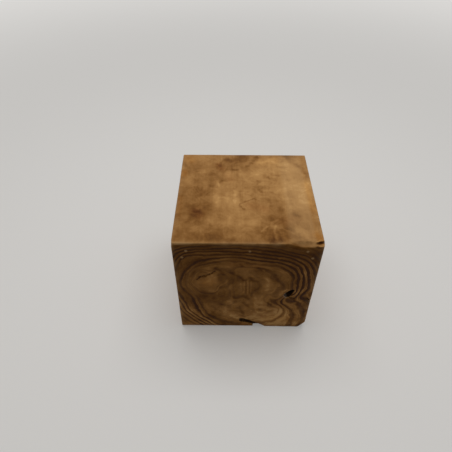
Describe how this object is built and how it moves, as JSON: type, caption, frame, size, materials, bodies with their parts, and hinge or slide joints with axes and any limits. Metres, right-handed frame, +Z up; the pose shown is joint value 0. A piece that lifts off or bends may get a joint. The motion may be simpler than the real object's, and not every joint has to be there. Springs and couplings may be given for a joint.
{
  "type": "wooden cube",
  "caption": "Solid wooden cube, a stool or side table squared from a log, with ringed end grain in front, a bark pocket and a natural notch in its base.",
  "frame": {"origin": "middle of the underside, on the floor", "axes": "+Z up, +Y from the ringed front to the back along the trunk's length, +X to the right seen from the front"},
  "size_m": [0.45, 0.45, 0.45],
  "materials": {
    "wood": "thin satin oil finish over dressed wood, ringed end grain front and back"
  },
  "bodies": {
    "root": {"block": "wood"}
  },
  "joints": []
}
